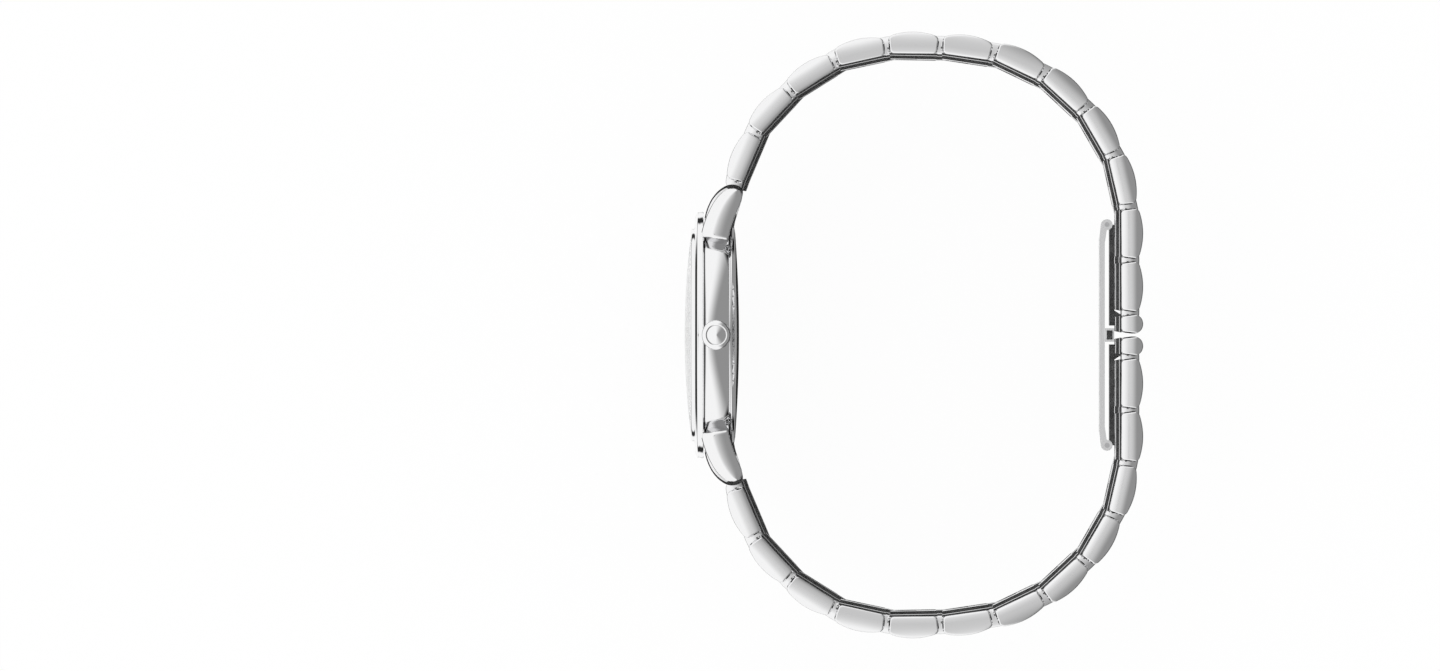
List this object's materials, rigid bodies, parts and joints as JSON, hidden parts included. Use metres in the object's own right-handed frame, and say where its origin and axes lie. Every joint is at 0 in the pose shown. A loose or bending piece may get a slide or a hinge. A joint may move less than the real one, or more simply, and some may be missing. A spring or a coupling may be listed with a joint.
{
  "type": "bracelet watch",
  "caption": "Small round analogue watch with a stepped bezel, fluted crown and polished link bracelet that closes with a butterfly clasp.",
  "frame": {"origin": "centre of the case back's outer face, which rests on the wrist", "axes": "+X from the case back towards the wrist, +Y towards 12 o'clock, +Z towards 3 o'clock and the crown"},
  "size_m": [0.054, 0.0714, 0.0309],
  "materials": {
    "polished_steel": "polished stainless steel",
    "clasp_steel": "lightly brushed stainless steel",
    "plain_steel": "plain turned or pressed steel",
    "mineral_glass": "clear and polished",
    "dial_paint": "satin white",
    "hand_metal": "polished",
    "wheel_brass": "plain",
    "holder_plastic": "moulded, matt",
    "coil_winding": "enamelled copper wire",
    "circuit_plastic": "matt",
    "gasket_rubber": "matt"
  },
  "bodies": {
    "watch_head": {"case_middle": "polished_steel", "bezel": "polished_steel", "crystal": "mineral_glass", "dial": "dial_paint", "hour_markers": "hand_metal", "movement_holder": "holder_plastic", "main_plate": "wheel_brass", "train_housing": "holder_plastic", "battery": "plain_steel", "battery_clamp": "plain_steel", "coil": "coil_winding", "stator": "plain_steel", "circuit_board": "circuit_plastic", "case_back": "polished_steel", "case_back_gasket": "gasket_rubber", "crown_tube": "plain_steel", "spring_bars": "plain_steel", "end_link_12h": "polished_steel", "end_link_6h": "polished_steel"},
    "minute_group": {"centre_arbor": "wheel_brass", "minute_hand": "hand_metal"},
    "hour_group": {"hour_wheel": "wheel_brass", "hour_hand": "hand_metal"},
    "minute_wheel_body": {"minute_wheel": "wheel_brass"},
    "crown_slider": {"crown_gasket": "gasket_rubber"},
    "crown_group": {"crown": "polished_steel", "stem": "plain_steel"},
    "link_12h_01_body": {"link_12h_01": "polished_steel"},
    "link_12h_02_body": {"link_12h_02": "polished_steel"},
    "link_12h_03_body": {"link_12h_03": "polished_steel"},
    "link_12h_04_body": {"link_12h_04": "polished_steel"},
    "link_12h_05_body": {"link_12h_05": "polished_steel"},
    "link_12h_06_body": {"link_12h_06": "polished_steel"},
    "link_12h_07_body": {"link_12h_07": "polished_steel"},
    "link_12h_08_body": {"link_12h_08": "polished_steel"},
    "link_12h_09_body": {"link_12h_09": "polished_steel"},
    "link_12h_10_body": {"link_12h_10": "polished_steel"},
    "link_12h_11_body": {"link_12h_11": "polished_steel"},
    "link_12h_12_body": {"link_12h_12": "polished_steel"},
    "link_6h_01_body": {"link_6h_01": "polished_steel"},
    "link_6h_02_body": {"link_6h_02": "polished_steel"},
    "link_6h_03_body": {"link_6h_03": "polished_steel"},
    "link_6h_04_body": {"link_6h_04": "polished_steel"},
    "link_6h_05_body": {"link_6h_05": "polished_steel"},
    "link_6h_06_body": {"link_6h_06": "polished_steel"},
    "link_6h_07_body": {"link_6h_07": "polished_steel"},
    "link_6h_08_body": {"link_6h_08": "polished_steel"},
    "link_6h_09_body": {"link_6h_09": "polished_steel"},
    "link_6h_10_body": {"link_6h_10": "polished_steel"},
    "link_6h_11_body": {"link_6h_11": "polished_steel"},
    "link_6h_12_body": {"link_6h_12": "polished_steel"},
    "clasp_arm_12h_body": {"clasp_arm_12h": "clasp_steel"},
    "clasp_arm_6h_body": {"clasp_arm_6h": "clasp_steel"},
    "clasp_bridge_body": {"clasp_bridge": "clasp_steel", "clasp_pins": "clasp_steel", "clasp_catch": "clasp_steel"},
    "pusher_3h_body": {"pusher_3h": "clasp_steel"},
    "pusher_9h_body": {"pusher_9h": "clasp_steel"}
  },
  "joints": [
    {"name": "minute_turn", "type": "hinge", "parent": "watch_head", "child": "minute_group", "pos_m": [0, 0, 0], "axis": [1, 0, 0], "continuous": true},
    {"name": "hour_turn", "type": "hinge", "parent": "watch_head", "child": "hour_group", "pos_m": [0, 0, 0], "axis": [1, 0, 0], "continuous": true},
    {"name": "minute_wheel_turn", "type": "hinge", "parent": "watch_head", "child": "minute_wheel_body", "pos_m": [0, 0, -0.00246], "axis": [1, 0, 0], "continuous": true},
    {"name": "crown_pull", "type": "slide", "parent": "watch_head", "child": "crown_slider", "axis": [0, 0, 1], "range_m": [0, 0.0006]},
    {"name": "crown_turn", "type": "hinge", "parent": "crown_slider", "child": "crown_group", "pos_m": [-0.00265, 0, 0], "axis": [0, 0, 1], "continuous": true},
    {"name": "hinge_12h_01", "type": "hinge", "parent": "watch_head", "child": "link_12h_01_body", "pos_m": [0.00027, 0.0187, 0], "axis": [0, 0, 1], "range_deg": [0, 3.4]},
    {"name": "hinge_12h_02", "type": "hinge", "parent": "link_12h_01_body", "child": "link_12h_02_body", "pos_m": [0.00271, 0.02445, 0], "axis": [0, 0, 1], "range_deg": [0, 3.4]},
    {"name": "hinge_12h_03", "type": "hinge", "parent": "link_12h_02_body", "child": "link_12h_03_body", "pos_m": [0.00697, 0.02902, 0], "axis": [0, 0, 1], "range_deg": [0, 3.4]},
    {"name": "hinge_12h_04", "type": "hinge", "parent": "link_12h_03_body", "child": "link_12h_04_body", "pos_m": [0.01227, 0.03234, 0], "axis": [0, 0, 1], "range_deg": [0, 3.4]},
    {"name": "hinge_12h_05", "type": "hinge", "parent": "link_12h_04_body", "child": "link_12h_05_body", "pos_m": [0.01839, 0.03364, 0], "axis": [0, 0, 1], "range_deg": [0, 3.4]},
    {"name": "hinge_12h_06", "type": "hinge", "parent": "link_12h_05_body", "child": "link_12h_06_body", "pos_m": [0.02464, 0.03353, 0], "axis": [0, 0, 1], "range_deg": [0, 3.4]},
    {"name": "hinge_12h_07", "type": "hinge", "parent": "link_12h_06_body", "child": "link_12h_07_body", "pos_m": [0.03082, 0.0326, 0], "axis": [0, 0, 1], "range_deg": [0, 3.4]},
    {"name": "hinge_12h_08", "type": "hinge", "parent": "link_12h_07_body", "child": "link_12h_08_body", "pos_m": [0.03645, 0.02989, 0], "axis": [0, 0, 1], "range_deg": [0, 3.4]},
    {"name": "hinge_12h_09", "type": "hinge", "parent": "link_12h_08_body", "child": "link_12h_09_body", "pos_m": [0.04102, 0.02563, 0], "axis": [0, 0, 1], "range_deg": [0, 3.4]},
    {"name": "hinge_12h_10", "type": "hinge", "parent": "link_12h_09_body", "child": "link_12h_10_body", "pos_m": [0.04412, 0.0202, 0], "axis": [0, 0, 1], "range_deg": [0, 3.4]},
    {"name": "hinge_12h_11", "type": "hinge", "parent": "link_12h_10_body", "child": "link_12h_11_body", "pos_m": [0.04548, 0.0141, 0], "axis": [0, 0, 1], "range_deg": [0, 3.4]},
    {"name": "hinge_12h_12", "type": "hinge", "parent": "link_12h_11_body", "child": "link_12h_12_body", "pos_m": [0.04548, 0.00785, 0], "axis": [0, 0, 1], "range_deg": [0, 3.4]},
    {"name": "hinge_6h_01", "type": "hinge", "parent": "watch_head", "child": "link_6h_01_body", "pos_m": [0.00027, -0.0187, 0], "axis": [0, 0, 1], "range_deg": [-3.4, 0]},
    {"name": "hinge_6h_02", "type": "hinge", "parent": "link_6h_01_body", "child": "link_6h_02_body", "pos_m": [0.00271, -0.02445, 0], "axis": [0, 0, 1], "range_deg": [-3.4, 0]},
    {"name": "hinge_6h_03", "type": "hinge", "parent": "link_6h_02_body", "child": "link_6h_03_body", "pos_m": [0.00697, -0.02902, 0], "axis": [0, 0, 1], "range_deg": [-3.4, 0]},
    {"name": "hinge_6h_04", "type": "hinge", "parent": "link_6h_03_body", "child": "link_6h_04_body", "pos_m": [0.01227, -0.03234, 0], "axis": [0, 0, 1], "range_deg": [-3.4, 0]},
    {"name": "hinge_6h_05", "type": "hinge", "parent": "link_6h_04_body", "child": "link_6h_05_body", "pos_m": [0.01839, -0.03364, 0], "axis": [0, 0, 1], "range_deg": [-3.4, 0]},
    {"name": "hinge_6h_06", "type": "hinge", "parent": "link_6h_05_body", "child": "link_6h_06_body", "pos_m": [0.02464, -0.03353, 0], "axis": [0, 0, 1], "range_deg": [-3.4, 0]},
    {"name": "hinge_6h_07", "type": "hinge", "parent": "link_6h_06_body", "child": "link_6h_07_body", "pos_m": [0.03082, -0.0326, 0], "axis": [0, 0, 1], "range_deg": [-3.4, 0]},
    {"name": "hinge_6h_08", "type": "hinge", "parent": "link_6h_07_body", "child": "link_6h_08_body", "pos_m": [0.03645, -0.02989, 0], "axis": [0, 0, 1], "range_deg": [-3.4, 0]},
    {"name": "hinge_6h_09", "type": "hinge", "parent": "link_6h_08_body", "child": "link_6h_09_body", "pos_m": [0.04102, -0.02563, 0], "axis": [0, 0, 1], "range_deg": [-3.4, 0]},
    {"name": "hinge_6h_10", "type": "hinge", "parent": "link_6h_09_body", "child": "link_6h_10_body", "pos_m": [0.04412, -0.0202, 0], "axis": [0, 0, 1], "range_deg": [-3.4, 0]},
    {"name": "hinge_6h_11", "type": "hinge", "parent": "link_6h_10_body", "child": "link_6h_11_body", "pos_m": [0.04548, -0.0141, 0], "axis": [0, 0, 1], "range_deg": [-3.4, 0]},
    {"name": "hinge_6h_12", "type": "hinge", "parent": "link_6h_11_body", "child": "link_6h_12_body", "pos_m": [0.04548, -0.00785, 0], "axis": [0, 0, 1], "range_deg": [-3.4, 0]},
    {"name": "clasp_12h_turn", "type": "hinge", "parent": "link_12h_12_body", "child": "clasp_arm_12h_body", "pos_m": [0.04548, 0.0016, 0], "axis": [0, 0, 1], "range_deg": [0, 79.28]},
    {"name": "clasp_6h_turn", "type": "hinge", "parent": "link_6h_12_body", "child": "clasp_arm_6h_body", "pos_m": [0.04548, -0.0016, 0], "axis": [0, 0, 1], "range_deg": [-79.28, 0]},
    {"name": "bridge_turn", "type": "hinge", "parent": "clasp_arm_12h_body", "child": "clasp_bridge_body", "pos_m": [0.04335, 0.013, 0], "axis": [0, 0, 1], "range_deg": [-120.12, 0]},
    {"name": "pusher_3h_press", "type": "slide", "parent": "clasp_bridge_body", "child": "pusher_3h_body", "axis": [0, 0, -1], "range_m": [0, 0.0004], "stiffness_N_per_m": 1000},
    {"name": "pusher_9h_press", "type": "slide", "parent": "clasp_bridge_body", "child": "pusher_9h_body", "axis": [0, 0, 1], "range_m": [0, 0.0004], "stiffness_N_per_m": 1000}
  ],
  "couplings": [
    {"joint": "hour_turn", "follows": "minute_turn", "ratio": 0.083333},
    {"joint": "minute_wheel_turn", "follows": "minute_turn", "ratio": -0.33333},
    {"joint": "hinge_12h_02", "follows": "hinge_12h_01", "ratio": 1},
    {"joint": "hinge_12h_03", "follows": "hinge_12h_01", "ratio": 1},
    {"joint": "hinge_12h_04", "follows": "hinge_12h_01", "ratio": 1},
    {"joint": "hinge_12h_05", "follows": "hinge_12h_01", "ratio": 1},
    {"joint": "hinge_12h_06", "follows": "hinge_12h_01", "ratio": 1},
    {"joint": "hinge_12h_07", "follows": "hinge_12h_01", "ratio": 1},
    {"joint": "hinge_12h_08", "follows": "hinge_12h_01", "ratio": 1},
    {"joint": "hinge_12h_09", "follows": "hinge_12h_01", "ratio": 1},
    {"joint": "hinge_12h_10", "follows": "hinge_12h_01", "ratio": 1},
    {"joint": "hinge_12h_11", "follows": "hinge_12h_01", "ratio": 1},
    {"joint": "hinge_12h_12", "follows": "hinge_12h_01", "ratio": 1},
    {"joint": "hinge_6h_01", "follows": "hinge_12h_01", "ratio": -1},
    {"joint": "hinge_6h_02", "follows": "hinge_12h_01", "ratio": -1},
    {"joint": "hinge_6h_03", "follows": "hinge_12h_01", "ratio": -1},
    {"joint": "hinge_6h_04", "follows": "hinge_12h_01", "ratio": -1},
    {"joint": "hinge_6h_05", "follows": "hinge_12h_01", "ratio": -1},
    {"joint": "hinge_6h_06", "follows": "hinge_12h_01", "ratio": -1},
    {"joint": "hinge_6h_07", "follows": "hinge_12h_01", "ratio": -1},
    {"joint": "hinge_6h_08", "follows": "hinge_12h_01", "ratio": -1},
    {"joint": "hinge_6h_09", "follows": "hinge_12h_01", "ratio": -1},
    {"joint": "hinge_6h_10", "follows": "hinge_12h_01", "ratio": -1},
    {"joint": "hinge_6h_11", "follows": "hinge_12h_01", "ratio": -1},
    {"joint": "hinge_6h_12", "follows": "hinge_12h_01", "ratio": -1},
    {"joint": "clasp_12h_turn", "follows": "hinge_12h_01", "ratio": 23.298},
    {"joint": "clasp_6h_turn", "follows": "hinge_12h_01", "ratio": -23.298},
    {"joint": "bridge_turn", "follows": "hinge_12h_01", "ratio": -35.298}
  ]
}
